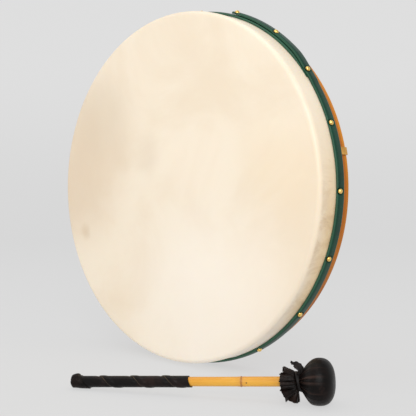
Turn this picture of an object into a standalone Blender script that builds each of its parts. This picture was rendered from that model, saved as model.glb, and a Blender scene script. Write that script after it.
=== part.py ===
"""A bodhran: a round frame drum with one skin, a cross of two bars behind it, and its padded beater.

Units are metres. Seen from the skin's side, +X is to the right and +Z is up; +Y runs from the skin to
the player. The origin is where the two bars cross, on the drum's axis, halfway through their thickness.
"""

import math

import bmesh
import bpy
from mathutils import Matrix, Vector

MM = 0.001
GAP = 0.3 * MM                      # clearance between neighbouring pieces
COLLECTION = "bodhran"

# Drum: sizes across the axis are radii, sizes along it are depths behind the skin's face.
RING_STEPS = 80                     # facets round the drum
SKIN_RADIUS = 228.6 * MM            # an 18 inch drum, measured across the skin
SKIN_THICKNESS = 0.8 * MM
SKIN_END = 41 * MM                  # the skirt's cut edge, hidden under the trim band
EDGE_ROUNDING = 6 * MM              # the skin's bend over the shell's front edge
DRUM_DEPTH = 60 * MM
WALL = 8 * MM
EASED_EDGE = 0.8 * MM
BEARING_SLOPE = 2.5 * MM            # the front edge slopes inwards, so the skin only bears on its outside
SHELL_OUTER = SKIN_RADIUS - SKIN_THICKNESS - GAP
SHELL_INNER = SHELL_OUTER - WALL
ARC_STEPS = 3
SCARF_ANGLE = math.radians(231.5)   # where the bent plank's two ends are glued together
SCARF_SLOPE = math.radians(15)
SCARF_LENGTH = 50 * MM

# Trim band: one thick strip, longer than the way round, whose end lies over its pared start.
BAND_FRONT = 30.4 * MM
BAND_WIDTH = 13.2 * MM
BAND_THICKNESS = 3.6 * MM
BAND_INNER = SKIN_RADIUS + GAP
BAND_OUTER = BAND_INNER + BAND_THICKNESS
BAND_START_DEG = 35.0
BAND_END_DEG = 360 + 72.2
PARED_THICKNESS = 0.6 * MM          # what is left of the strip at its very start
PARED_DEG = 10.0                    # the stretch in which it grows to its full thickness
CLIMB_DEG = 3.0                     # the stretch in which the strip climbs onto its own start
CLIMB_CLEAR_DEG = 0.5               # how far before the start the climb ends
CLIMB_STEPS = 3

# Tacks: three hold the overlap, five follow down that side and eleven go round the rest. The foot has none.
TACK_HEAD_RADIUS = 3.35 * MM
TACK_HEAD_HEIGHT = 3.1 * MM
TACK_SHANK_RADIUS = 0.6 * MM
TACK_LENGTH = 10.5 * MM
TACK_POINT = 1.5 * MM
TACK_STEPS = 8
DOME_STEPS = 2
TACK_DEPTH = 35.0 * MM
TACK_SINK = 1.4 * MM                 # how far a head is pulled down into the padded band
TACK_SEAT_STEPS = 12
TACK_HOLE_STEPS = 6
TACK_HOLE_REACH = 4 * MM            # how far a hole's cutter stands out past the band
OVERLAP_TACKS_DEG = [71.0, 54.0, 37.3]
SIDE_TACKS = 5
SIDE_TACK_FIRST_DEG = 19.3
SIDE_TACK_SPACING_DEG = 19.85
REST_TACKS = 11
REST_TACK_FIRST_DEG = -99.2
REST_TACK_SPACING_DEG = 17.46

# Bars: two, half-lapped where they cross, with narrowed ends let into notches in the shell's rear edge.
BAR_THICKNESS = 14 * MM
BAR_WIDTH = 20 * MM
BAR_EDGE = 1.2 * MM
TENON_WIDTH = 9 * MM
TENON_PROUD = 2.3 * MM              # how far a bar's end stands out of the shell
BAR_SHOULDER = SHELL_INNER - 0.7 * MM
LEVEL_BAR_ANGLE = math.radians(11.25)
UPRIGHT_BAR_ANGLE = LEVEL_BAR_ANGLE + math.pi / 2

# Panel pins through the bars' ends into the shell.
PIN_RADIUS = 0.8 * MM
PIN_HEAD_RADIUS = 1.6 * MM
PIN_HEAD_THICKNESS = 0.6 * MM
PIN_LENGTH = 19 * MM
PIN_POINT = 1.5 * MM
PIN_STEPS = 8
PIN_SINK = 0.1 * MM                 # the head lies just below the bar's surface

# Beater: its axis is +Z from the pommel to the head, and z is 0 at the head's middle.
HEAD_RADIUS = 25.6 * MM
HEAD_TIP = 18.1 * MM
HEAD_WIDEST = 1.0 * MM
HEAD_SQUARENESS = 2.5               # 2 is an ellipse, more is flatter at the tip
HEAD_BACK_POWER = 1.7
NECK_TOP = -18.5 * MM
NECK_BOTTOM = -24.8 * MM
NECK_RADIUS = 9.0 * MM
LEATHER = 1.2 * MM
RUFF_HEM = -40.5 * MM
RUFF_RADIUS = 17 * MM
RUFF_FLARE = 0.8                    # below 1 the ruff opens fastest at the neck
RUFF_STEPS = 3
RUFF_PLEATS = 6
RUFF_PLEAT_DEPTH = 2.4 * MM
RUFF_DROOP = 3.0 * MM               # the ruff hangs out further underneath
PLEATS_START = NECK_BOTTOM - 0.5 * MM
HEAD_STEPS = 36
HEAD_RINGS = (5, 4)                 # profile steps of the cover, from tip to widest and on to the neck
PADDING_RINGS = (4, 3)
CANE_RADIUS = 5.4 * MM
CANE_STEPS = 20
CANE_START = -282.5 * MM
CANE_END = 6.0 * MM
CANE_NODE = -84.1 * MM              # the ring where a leaf grew
CANE_NODE_RIDGE = 0.5 * MM
CANE_NODE_ABOVE = (0.8 * MM, 2.2 * MM)  # where the ridge ends and its slope ends, towards the head
CANE_NODE_BELOW = (0.6 * MM, 1.8 * MM)
CANE_CHAMFER = 0.8 * MM
GRIP_RADIUS = 6.6 * MM
GRIP_START = -268.1 * MM
GRIP_END = -143.2 * MM
GRIP_SLANT = math.radians(16.5)
GRIP_SLACK = 4 * MM                 # turned longer than needed, and cut back on the slant
POMMEL_RADIUS = 8.3 * MM
POMMEL_MIDDLE = -278.2 * MM
POMMEL_END = -285.1 * MM
POMMEL_MOUTH = GRIP_RADIUS + 0.4 * MM
POMMEL_SHOULDER = (POMMEL_RADIUS - 0.4 * MM, POMMEL_MIDDLE + 5 * MM)
POMMEL_CORNER = (POMMEL_RADIUS - 1.6 * MM, POMMEL_END + 0.9 * MM)
LACE_RADIUS = 0.75 * MM
LACE_TURNS = 3
LACE_POINTS_PER_TURN = 14
LACE_TAIL = 14 * MM
LACE_TAIL_REACH = (-11.5 * MM, 2.0 * MM, -5.0 * MM)    # from the first turn to the tail's end
LACE_TAIL_POINTS = 6

# Where the beater lies: in front of the drum, on the surface that the drum's lowest point touches.
FLOOR_Z = -BAND_OUTER
BEATER_AT = (246.9 * MM, -81.1 * MM)
BEATER_HEADING = math.radians(28.74)
BEATER_TILT = math.asin((HEAD_RADIUS - POMMEL_RADIUS) / -POMMEL_MIDDLE)


def front(depth):
    """Height on the drum's own axis of a place that far behind the skin's face."""
    return DRUM_DEPTH - BAR_THICKNESS / 2 - depth


# Scene and materials

def start():
    """An empty scene with one collection for the parts and one for the cutters."""
    for obj in list(bpy.data.objects):
        bpy.data.objects.remove(obj, do_unlink=True)
    for name in (COLLECTION, "cutters"):
        bpy.context.scene.collection.children.link(bpy.data.collections.new(name))


def frame(name, location, rotation):
    """An empty that carries the pieces of one half of the set."""
    empty = bpy.data.objects.new(name, None)
    empty.location = location
    empty.rotation_euler = rotation
    bpy.data.collections[COLLECTION].objects.link(empty)
    return empty


def material(name, rgb, roughness, metallic=0.0):
    made = bpy.data.materials.new(name)
    made.use_nodes = True
    shader = made.node_tree.nodes["Principled BSDF"]
    shader.inputs["Base Color"].default_value = (*rgb, 1)
    shader.inputs["Roughness"].default_value = roughness
    shader.inputs["Metallic"].default_value = metallic
    made.diffuse_color = (*rgb, 1)
    return made


def add(obj, parent, look):
    """Puts a finished piece in the object's collection, on its frame, with its material."""
    bpy.data.collections[COLLECTION].objects.link(obj)
    obj.parent = parent
    obj.data.materials.clear()
    obj.data.materials.append(look)
    return obj


def add_cutter(obj, parent):
    bpy.data.collections["cutters"].objects.link(obj)
    obj.parent = parent
    obj.hide_render = True
    obj.display_type = "WIRE"
    return obj


def cut(obj, cutter):
    boolean = obj.modifiers.new(cutter.name, "BOOLEAN")
    boolean.operation = "DIFFERENCE"
    boolean.solver = "EXACT"
    boolean.object = cutter


# Shapes

def frozen(obj, weld=0.01 * MM):
    """The object with its modifiers or its curve made into a plain, closed mesh."""
    bpy.context.scene.collection.objects.link(obj)
    bpy.context.view_layer.update()
    evaluated = obj.evaluated_get(bpy.context.evaluated_depsgraph_get())
    mesh = bpy.data.meshes.new_from_object(evaluated)
    name = obj.name
    bpy.data.objects.remove(obj)
    cage = bmesh.new()
    cage.from_mesh(mesh)
    bmesh.ops.remove_doubles(cage, verts=cage.verts, dist=weld)
    bmesh.ops.recalc_face_normals(cage, faces=cage.faces)
    cage.to_mesh(mesh)
    cage.free()
    return bpy.data.objects.new(name, mesh)


def smooth(obj, angle=35):
    obj.data.shade_smooth()
    obj.data.set_sharp_from_angle(angle=math.radians(angle))
    return obj


def turned(name, profile, steps):
    """A solid of revolution about Z. The profile holds (radius, height) pairs, down the outer side."""
    mesh = bpy.data.meshes.new(name)
    closed = profile[0][0] > 0
    edges = [(i, i + 1) for i in range(len(profile) - 1)]
    if closed:
        edges.append((len(profile) - 1, 0))
    mesh.from_pydata([(r, 0, z) for r, z in profile], edges, [])
    obj = bpy.data.objects.new(name, mesh)
    screw = obj.modifiers.new("Screw", "SCREW")
    screw.steps = steps
    screw.render_steps = steps
    screw.use_merge_vertices = True
    screw.merge_threshold = 0.01 * MM
    return smooth(frozen(obj))


def arc(centre, radius, first_deg, last_deg, steps):
    """Points on a circle in a profile, both ends included."""
    points = []
    for i in range(steps + 1):
        angle = math.radians(first_deg + (last_deg - first_deg) * i / steps)
        points.append((centre[0] + radius * math.cos(angle), centre[1] + radius * math.sin(angle)))
    return points


def plate(name, outline, thickness):
    """A flat closed outline in XY, with half its thickness on either side."""
    curve = bpy.data.curves.new(name, "CURVE")
    curve.dimensions = "2D"
    curve.fill_mode = "BOTH"
    curve.extrude = thickness / 2
    spline = curve.splines.new("POLY")
    spline.points.add(len(outline) - 1)
    for point, (x, y) in zip(spline.points, outline):
        point.co = (x, y, 0, 1)
    spline.use_cyclic_u = True
    return frozen(bpy.data.objects.new(name, curve))


def rod(name, points, radius):
    """A round cord along the points, with closed ends."""
    curve = bpy.data.curves.new(name, "CURVE")
    curve.dimensions = "3D"
    curve.bevel_depth = radius
    curve.bevel_resolution = 2
    curve.use_fill_caps = True
    spline = curve.splines.new("POLY")
    spline.points.add(len(points) - 1)
    for point, place in zip(spline.points, points):
        point.co = (*place, 1)
    return smooth(frozen(bpy.data.objects.new(name, curve)))


def block(name, size, location=(0, 0, 0), rotation=(0, 0, 0)):
    mesh = bpy.data.meshes.new(name)
    cage = bmesh.new()
    bmesh.ops.create_cube(cage, size=1, matrix=Matrix.Diagonal((*size, 1)))
    cage.to_mesh(mesh)
    cage.free()
    obj = bpy.data.objects.new(name, mesh)
    obj.location = location
    obj.rotation_euler = rotation
    return obj


# Drum

def make_shell(drum, look):
    centre = (SKIN_RADIUS - EDGE_ROUNDING, front(EDGE_ROUNDING))
    bend = EDGE_ROUNDING - SKIN_THICKNESS - GAP
    top = centre[1] + bend
    rear = front(DRUM_DEPTH)
    profile = [
        (SHELL_INNER, top - BEARING_SLOPE),
        *arc(centre, bend, 90, 0, ARC_STEPS),
        (SHELL_OUTER, rear + EASED_EDGE),
        (SHELL_OUTER - EASED_EDGE, rear),
        (SHELL_INNER + EASED_EDGE, rear),
        (SHELL_INNER, rear + EASED_EDGE),
    ]
    return add(turned("shell", profile, RING_STEPS), drum, look)


def cut_scarf(shell, drum):
    """The slanted glue line across the wall where the bent plank's ends meet."""
    radius = (SHELL_INNER + SHELL_OUTER) / 2
    place = (radius * math.cos(SCARF_ANGLE), radius * math.sin(SCARF_ANGLE), front(DRUM_DEPTH / 2))
    size = (GAP, SCARF_LENGTH, 2 * DRUM_DEPTH)
    turn = (0, 0, SCARF_ANGLE + SCARF_SLOPE)
    cut(shell, add_cutter(block("scarf_cut", size, place, turn), drum))


def make_drumhead(drum, look):
    outer = (SKIN_RADIUS - EDGE_ROUNDING, front(EDGE_ROUNDING))
    inner_bend = EDGE_ROUNDING - SKIN_THICKNESS
    profile = [
        (0, front(0)),
        *arc(outer, EDGE_ROUNDING, 90, 0, ARC_STEPS),
        (SKIN_RADIUS, front(SKIN_END)),
        (SKIN_RADIUS - SKIN_THICKNESS, front(SKIN_END)),
        *arc(outer, inner_bend, 0, 90, ARC_STEPS),
        (0, front(SKIN_THICKNESS)),
    ]
    return add(turned("drumhead", profile, RING_STEPS), drum, look)


def eased(share):
    """From 0 to 1 as share goes from 0 to 1, starting and ending gently."""
    share = min(max(share, 0), 1)
    return share * share * (3 - 2 * share)


def strip_thickness(angle_deg):
    """The strip is pared at its start, and full from there on."""
    share = eased((angle_deg - BAND_START_DEG) / PARED_DEG)
    return PARED_THICKNESS + (BAND_THICKNESS - PARED_THICKNESS) * share


def strip_inner(angle_deg):
    """The strip's inner radius: on the skin, then in a short climb onto its own start and along it."""
    under = angle_deg - 360
    climb_start = BAND_START_DEG - CLIMB_CLEAR_DEG - CLIMB_DEG
    lift = strip_thickness(under) + GAP
    return BAND_INNER + lift * eased((under - climb_start) / CLIMB_DEG)


def strip_outer(angle_deg):
    return strip_inner(angle_deg) + strip_thickness(angle_deg)


def make_band(drum, look):
    facet = 360 / RING_STEPS
    angles = {BAND_START_DEG, BAND_END_DEG}
    for i in range(2 * RING_STEPS):
        if BAND_START_DEG < i * facet < BAND_END_DEG:
            angles.add(i * facet)
    climb_end = BAND_START_DEG + 360 - CLIMB_CLEAR_DEG
    for i in range(CLIMB_STEPS + 1):
        angles.add(climb_end - CLIMB_DEG * i / CLIMB_STEPS)
    inner = []
    outer = []
    for angle_deg in sorted(angles):
        angle = math.radians(angle_deg)
        radius = strip_inner(angle_deg)
        inner.append((radius * math.cos(angle), radius * math.sin(angle)))
        radius = strip_outer(angle_deg)
        outer.append((radius * math.cos(angle), radius * math.sin(angle)))
    band = plate("trim_band", outer + inner[::-1], BAND_WIDTH)
    band.location = (0, 0, front(BAND_FRONT + BAND_WIDTH / 2))
    return add(smooth(band), drum, look)


def tack_places():
    """Each tack's angle round the drum and the radius of its head's underside."""
    side = [SIDE_TACK_FIRST_DEG - i * SIDE_TACK_SPACING_DEG for i in range(SIDE_TACKS)]
    rest = [REST_TACK_FIRST_DEG - i * REST_TACK_SPACING_DEG for i in range(REST_TACKS)]
    half_head_deg = math.degrees(TACK_HEAD_RADIUS / BAND_OUTER)
    places = []
    for angle_deg in OVERLAP_TACKS_DEG:
        radius = strip_outer(angle_deg + 360 + half_head_deg)
        places.append((math.radians(angle_deg), radius - TACK_SINK + GAP))
    for angle_deg in side + rest:
        places.append((math.radians(angle_deg), BAND_OUTER - TACK_SINK + GAP))
    return places


def make_tacks(drum, look):
    ball = (TACK_HEAD_RADIUS ** 2 + TACK_HEAD_HEIGHT ** 2) / (2 * TACK_HEAD_HEIGHT)
    half_angle = math.degrees(math.asin(TACK_HEAD_RADIUS / ball))
    dome = arc((0, TACK_HEAD_HEIGHT - ball), ball, 90, 90 - half_angle, DOME_STEPS)
    profile = [
        (0, TACK_HEAD_HEIGHT),
        *dome[1:],
        (TACK_SHANK_RADIUS, 0),
        (TACK_SHANK_RADIUS, TACK_POINT - TACK_LENGTH),
        (0, -TACK_LENGTH),
    ]
    mesh = turned("tack", profile, TACK_STEPS).data
    for i, (angle, radius) in enumerate(tack_places()):
        tack = bpy.data.objects.new(f"tack_{i + 1:02d}", mesh)
        tack.location = (radius * math.cos(angle), radius * math.sin(angle), front(TACK_DEPTH))
        tack.rotation_euler = (0, math.pi / 2, angle)
        add(tack, drum, look)


def tack_cutter(name, drum, hole, steps, depth):
    """One cutter holding a round rod at every tack, from outside the band to depth below the head."""
    mesh = bpy.data.meshes.new(name)
    cage = bmesh.new()
    length = depth + TACK_HOLE_REACH
    for angle, radius in tack_places():
        middle = radius + TACK_HOLE_REACH - length / 2
        place = Matrix.Rotation(angle, 4, "Z") @ Matrix.Translation((middle, 0, front(TACK_DEPTH)))
        bmesh.ops.create_cone(
            cage, cap_ends=True, segments=steps, radius1=hole, radius2=hole, depth=length,
            matrix=place @ Matrix.Rotation(math.pi / 2, 4, "Y"),
        )
    cage.to_mesh(mesh)
    cage.free()
    return add_cutter(bpy.data.objects.new(name, mesh), drum)


def shoulders(name, angle, drum):
    """Four blocks, in one cutter, that narrow a bar's ends to what enters the notches."""
    mesh = bpy.data.meshes.new(name)
    cage = bmesh.new()
    length = 2 * BAR_WIDTH
    size = Matrix.Diagonal((length, BAR_WIDTH, 2 * BAR_THICKNESS, 1))
    for end in (-1, 1):
        for side in (-1, 1):
            middle = (end * (BAR_SHOULDER + length / 2), side * (TENON_WIDTH + BAR_WIDTH) / 2, 0)
            bmesh.ops.create_cube(cage, size=1, matrix=Matrix.Translation(middle) @ size)
    cage.to_mesh(mesh)
    cage.free()
    obj = bpy.data.objects.new(name, mesh)
    obj.rotation_euler = (0, 0, angle)
    return add_cutter(obj, drum)


def make_bar(name, angle, drum, look):
    """A bar eased along its edges, with square shoulders and narrowed ends."""
    size = (2 * (SHELL_OUTER + TENON_PROUD), BAR_WIDTH, BAR_THICKNESS)
    bar = block(name, size, (0, 0, 0), (0, 0, angle))
    bevel = bar.modifiers.new("Bevel", "BEVEL")
    bevel.width = BAR_EDGE
    bevel.segments = 2
    cut(bar, shoulders(name + "_shoulders", angle, drum))
    return add(smooth(bar), drum, look)


def notch(name, angle, drum):
    """A long block that clears both ends of a bar out of the shell's rear edge."""
    height = 2 * BAR_THICKNESS
    size = (3 * SKIN_RADIUS, TENON_WIDTH + 2 * GAP, height)
    top = BAR_THICKNESS / 2 + GAP
    return add_cutter(block(name, size, (0, 0, top - height / 2), (0, 0, angle)), drum)


def lap(name, angle, side, drum):
    """A block that takes half a bar's thickness away, on the rear (-1) or the front (+1) side."""
    size = (2 * BAR_WIDTH, BAR_WIDTH + 2 * GAP, BAR_THICKNESS)
    middle = side * (BAR_THICKNESS / 2 - GAP / 2)
    return add_cutter(block(name, size, (0, 0, middle), (0, 0, angle)), drum)


def pin_place(angle):
    radius = (SHELL_INNER + SHELL_OUTER) / 2
    return (radius * math.cos(angle), radius * math.sin(angle), front(DRUM_DEPTH) + PIN_SINK)


def make_pins(drum, look):
    """Four pins whose heads lie in the bars' rear faces, and one cutter with their holes."""
    profile = [
        (0, PIN_LENGTH),
        (PIN_RADIUS, PIN_LENGTH - PIN_POINT),
        (PIN_RADIUS, PIN_HEAD_THICKNESS),
        (PIN_HEAD_RADIUS, PIN_HEAD_THICKNESS),
        (PIN_HEAD_RADIUS, 0),
        (0, 0),
    ]
    hole_profile = [
        (0, PIN_LENGTH + GAP),
        (PIN_RADIUS + GAP, PIN_LENGTH + GAP),
        (PIN_RADIUS + GAP, PIN_HEAD_THICKNESS + GAP),
        (PIN_HEAD_RADIUS + GAP, PIN_HEAD_THICKNESS + GAP),
        (PIN_HEAD_RADIUS + GAP, -2 * PIN_HEAD_THICKNESS),
        (0, -2 * PIN_HEAD_THICKNESS),
    ]
    mesh = turned("pin", profile, PIN_STEPS).data
    hole_mesh = turned("pin_hole", hole_profile, PIN_STEPS).data
    holes = []
    for i in range(4):
        place = pin_place(LEVEL_BAR_ANGLE + i * math.pi / 2)
        pin = bpy.data.objects.new(f"bar_pin_{i + 1}", mesh)
        pin.location = place
        add(pin, drum, look)
        hole = bpy.data.objects.new(f"pin_hole_{i + 1}", hole_mesh)
        hole.location = place
        holes.append(add_cutter(hole, drum))
    return holes


def make_drum():
    drum = frame("drum_frame", (0, 0, 0), (math.pi / 2, 0, 0))
    wood = material("shell_wood", (0.58, 0.22, 0.032), 0.35)
    bar_wood = material("bar_wood", (0.58, 0.30, 0.07), 0.45)
    brass = material("brass", (0.80, 0.55, 0.20), 0.25, 1.0)
    shell = make_shell(drum, wood)
    drumhead = make_drumhead(drum, material("goatskin", (0.90, 0.77, 0.58), 0.5))
    band = make_band(drum, material("green_band", (0.017, 0.07, 0.045), 0.5))
    make_tacks(drum, brass)
    seat_radius = (TACK_HEAD_RADIUS + GAP) / math.cos(math.pi / TACK_SEAT_STEPS)
    cut(band, tack_cutter("tack_seats", drum, seat_radius, TACK_SEAT_STEPS, GAP))
    tack_holes = tack_cutter("tack_holes", drum, TACK_SHANK_RADIUS + GAP, TACK_HOLE_STEPS, TACK_LENGTH + GAP)
    for holed in (shell, drumhead, band):
        cut(holed, tack_holes)
    cut_scarf(shell, drum)
    level = make_bar("crossbar_level", LEVEL_BAR_ANGLE, drum, bar_wood)
    upright = make_bar("crossbar_upright", UPRIGHT_BAR_ANGLE, drum, bar_wood)
    cut(level, lap("lap_level", UPRIGHT_BAR_ANGLE, -1, drum))
    cut(upright, lap("lap_upright", LEVEL_BAR_ANGLE, 1, drum))
    cut(shell, notch("notch_level", LEVEL_BAR_ANGLE, drum))
    cut(shell, notch("notch_upright", UPRIGHT_BAR_ANGLE, drum))
    for i, hole in enumerate(make_pins(drum, brass)):
        cut(shell, hole)
        cut((level, upright)[i % 2], hole)


# Beater

def cane_profile():
    """From the end inside the head down to the end inside the pommel, with the ring between."""
    ridge = CANE_RADIUS + CANE_NODE_RIDGE
    return [
        (0, CANE_END),
        (CANE_RADIUS - CANE_CHAMFER, CANE_END),
        (CANE_RADIUS, CANE_END - CANE_CHAMFER),
        (CANE_RADIUS, CANE_NODE + CANE_NODE_ABOVE[1]),
        (ridge, CANE_NODE + CANE_NODE_ABOVE[0]),
        (ridge, CANE_NODE - CANE_NODE_BELOW[0]),
        (CANE_RADIUS, CANE_NODE - CANE_NODE_BELOW[1]),
        (CANE_RADIUS, CANE_START + CANE_CHAMFER),
        (CANE_RADIUS - CANE_CHAMFER, CANE_START),
        (0, CANE_START),
    ]


def head_profile(offset, tip_steps, back_steps):
    """The padded head's outline from its tip to its neck, that far inside its surface."""
    radius = HEAD_RADIUS - offset
    length = HEAD_TIP - offset - HEAD_WIDEST
    neck = NECK_RADIUS - offset
    points = []
    for i in range(tip_steps + 1):
        angle = math.pi / 2 * i / tip_steps
        across = math.sin(angle) ** (2 / HEAD_SQUARENESS)
        along = max(math.cos(angle), 0) ** (2 / HEAD_SQUARENESS)
        points.append((radius * across, HEAD_WIDEST + length * along))
    for i in range(1, back_steps + 1):
        share = i / back_steps
        height = HEAD_WIDEST + (NECK_TOP + offset - HEAD_WIDEST) * share
        points.append((neck + (radius - neck) * (1 - share ** HEAD_BACK_POWER), height))
    points[0] = (0, points[0][1])
    return points


def ruff_profile(offset):
    """The ruff's flare from the neck to the hem, that far inside its outer face."""
    points = []
    for i in range(1, RUFF_STEPS + 1):
        share = i / RUFF_STEPS
        radius = NECK_RADIUS + (RUFF_RADIUS - NECK_RADIUS) * share ** RUFF_FLARE
        points.append((radius - offset, NECK_BOTTOM + (RUFF_HEM - NECK_BOTTOM) * share))
    return points


def pleat(vertex):
    """Moves a point of the turned ruff into its pleats. Local +X is the side that faces the floor."""
    share = (PLEATS_START - vertex.z) / (NECK_BOTTOM - RUFF_HEM)
    if share <= 0:
        return
    share = min(share, 1)
    angle = math.atan2(vertex.y, vertex.x)
    under = ((1 + math.cos(angle)) / 2) ** 2
    radius = math.hypot(vertex.x, vertex.y)
    radius += share * (RUFF_PLEAT_DEPTH * math.cos(RUFF_PLEATS * angle) + RUFF_DROOP * under)
    vertex.x = radius * math.cos(angle)
    vertex.y = radius * math.sin(angle)
    vertex.z += share * (RUFF_DROOP * under + RUFF_PLEAT_DEPTH * math.sin(RUFF_PLEATS * angle) / 2)


def make_head_cover(beater, look):
    """One round of leather over the padding, gathered at the neck and spread out as a ruff."""
    bore = CANE_RADIUS + GAP
    profile = head_profile(0, *HEAD_RINGS)
    profile.append((NECK_RADIUS, NECK_BOTTOM))
    profile += ruff_profile(0)
    profile += ruff_profile(LEATHER)[::-1]
    profile.append((bore, NECK_BOTTOM))
    inside = head_profile(LEATHER, *PADDING_RINGS)
    inside[-1] = (bore, inside[-1][1])
    profile += inside[::-1]
    cover = turned("head_cover", profile, HEAD_STEPS)
    for vertex in cover.data.vertices:
        pleat(vertex.co)
    return add(cover, beater, look)


def make_padding(beater, look):
    """Packed wool, tied round the cane's end."""
    bore = CANE_RADIUS + GAP
    profile = head_profile(LEATHER + GAP, *PADDING_RINGS)
    profile[-1] = (bore + LEATHER, profile[-1][1] + 2 * LEATHER)
    profile.append((bore, profile[-1][1]))
    profile.append((bore, CANE_END + GAP))
    profile.append((0, CANE_END + GAP))
    return add(turned("padding_core", profile, HEAD_STEPS // 2), beater, look)


def make_grip(beater, look):
    """The wound strip, cut off on a slant where the bare cane begins."""
    profile = [
        (CANE_RADIUS + GAP, GRIP_END + GRIP_SLACK),
        (GRIP_RADIUS, GRIP_END + GRIP_SLACK),
        (GRIP_RADIUS, GRIP_START),
        (CANE_RADIUS + GAP, GRIP_START),
    ]
    grip = add(turned("grip_strip", profile, CANE_STEPS), beater, look)
    size = (8 * GRIP_RADIUS, 8 * GRIP_RADIUS, 4 * GRIP_RADIUS)
    place = Vector((0, 0, GRIP_END)) + Matrix.Rotation(-GRIP_SLANT, 3, "Y") @ Vector((0, 0, size[2] / 2))
    cut(grip, add_cutter(block("grip_slant", size, place, (0, -GRIP_SLANT, 0)), beater))


def make_pommel(beater, look):
    """A leather cap folded over the cane's end, thick where it is gathered."""
    bore = CANE_RADIUS + GAP
    profile = [
        (0, CANE_START - GAP),
        (bore, CANE_START - GAP),
        (bore, GRIP_START - GAP),
        (POMMEL_MOUTH, GRIP_START - GAP),
        POMMEL_SHOULDER,
        (POMMEL_RADIUS, POMMEL_MIDDLE),
        POMMEL_CORNER,
        (0, POMMEL_END),
    ]
    return add(turned("pommel_cap", profile, CANE_STEPS), beater, look)


def lace_points():
    """A tail that points back and up, then turns round the neck side by side towards the head."""
    radius = NECK_RADIUS + GAP + LACE_RADIUS
    pitch = 2 * LACE_RADIUS + GAP
    first = (NECK_TOP + NECK_BOTTOM - LACE_TURNS * pitch) / 2
    turns = []
    for i in range(LACE_TURNS * LACE_POINTS_PER_TURN + 1):
        share = i / LACE_POINTS_PER_TURN
        angle = math.pi + 2 * math.pi * share
        turns.append(Vector((radius * math.cos(angle), radius * math.sin(angle), first + pitch * share)))
    way = (turns[0] - turns[1]).normalized()
    bend = turns[0] + way * LACE_TAIL / 3
    tip = turns[0] + Vector(LACE_TAIL_REACH)
    tail = []
    for i in range(LACE_TAIL_POINTS):
        share = i / LACE_TAIL_POINTS
        tail.append(tip * (1 - share) ** 2 + bend * 2 * share * (1 - share) + turns[0] * share ** 2)
    return tail + turns


def make_beater():
    place = (*BEATER_AT, FLOOR_Z + HEAD_RADIUS)
    beater = frame("beater_frame", place, (0, math.pi / 2 - BEATER_TILT, BEATER_HEADING))
    leather = material("black_leather", (0.02, 0.014, 0.012), 0.5)
    cane = material("bamboo", (0.75, 0.44, 0.11), 0.35)
    add(turned("cane_shaft", cane_profile(), CANE_STEPS), beater, cane)
    make_padding(beater, material("wool", (0.75, 0.70, 0.60), 0.95))
    make_head_cover(beater, leather)
    make_grip(beater, leather)
    make_pommel(beater, leather)
    add(rod("tie_lace", lace_points(), LACE_RADIUS), beater, leather)


start()
make_drum()
make_beater()
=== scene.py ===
"""The looks of a bodhran and its beater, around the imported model. Metres, +Z up, +Y to the player."""

import math
from math import cos, pi, radians, sin

import bmesh
import bpy
import numpy as np
from mathutils import Matrix, Vector, noise


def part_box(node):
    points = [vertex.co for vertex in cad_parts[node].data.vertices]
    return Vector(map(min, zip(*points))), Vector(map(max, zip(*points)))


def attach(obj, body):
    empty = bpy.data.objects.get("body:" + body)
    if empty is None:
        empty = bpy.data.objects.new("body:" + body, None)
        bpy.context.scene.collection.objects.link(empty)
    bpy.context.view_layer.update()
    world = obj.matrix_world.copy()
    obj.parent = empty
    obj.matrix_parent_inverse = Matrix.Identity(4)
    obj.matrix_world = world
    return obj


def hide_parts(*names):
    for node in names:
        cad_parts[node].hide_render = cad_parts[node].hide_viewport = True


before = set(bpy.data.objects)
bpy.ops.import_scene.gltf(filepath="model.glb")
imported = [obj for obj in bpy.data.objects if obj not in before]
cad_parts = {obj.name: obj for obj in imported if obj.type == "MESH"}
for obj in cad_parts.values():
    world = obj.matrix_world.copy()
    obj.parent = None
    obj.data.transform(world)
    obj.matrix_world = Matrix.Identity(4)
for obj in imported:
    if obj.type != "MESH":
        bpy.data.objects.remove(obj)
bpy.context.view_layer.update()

MM = 0.001
GAP = 0.3 * MM  # clearance between neighbouring pieces

# Where the drum is, from its nodes. On the drum's own axis +Z points away from the player.
SKIN_LOW, SKIN_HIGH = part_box("drumhead")
SHELL_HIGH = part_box("shell")[1]
BAND_LOW, BAND_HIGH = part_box("trim_band")
DRUM = Matrix.Rotation(pi / 2, 4, "X")
FACE = -SKIN_LOW.y
REAR = -SHELL_HIGH.y
SKIN_RADIUS = SKIN_HIGH.x
SKIN_HEM = -SKIN_HIGH.y
SKIN_THICKNESS = 0.8 * MM
EDGE_ROUNDING = 6 * MM
SHELL_OUTER = SKIN_RADIUS - SKIN_THICKNESS - GAP
WALL = 8 * MM
SHELL_INNER = SHELL_OUTER - WALL
BEARING_SLOPE = 2.5 * MM
EASED_EDGE = 0.9 * MM
SCARF_ANGLE = radians(231.5)  # where the bent plank's ends are glued
SCARF_SLOPE = radians(15)
SCARF_LENGTH = 50 * MM
RING_STEPS = 288
SKIN_RIPPLE = 0.28 * MM  # how far the skirt waves in and out
SKIN_LIFT = 0.12 * MM  # how far the face rises and falls

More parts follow.
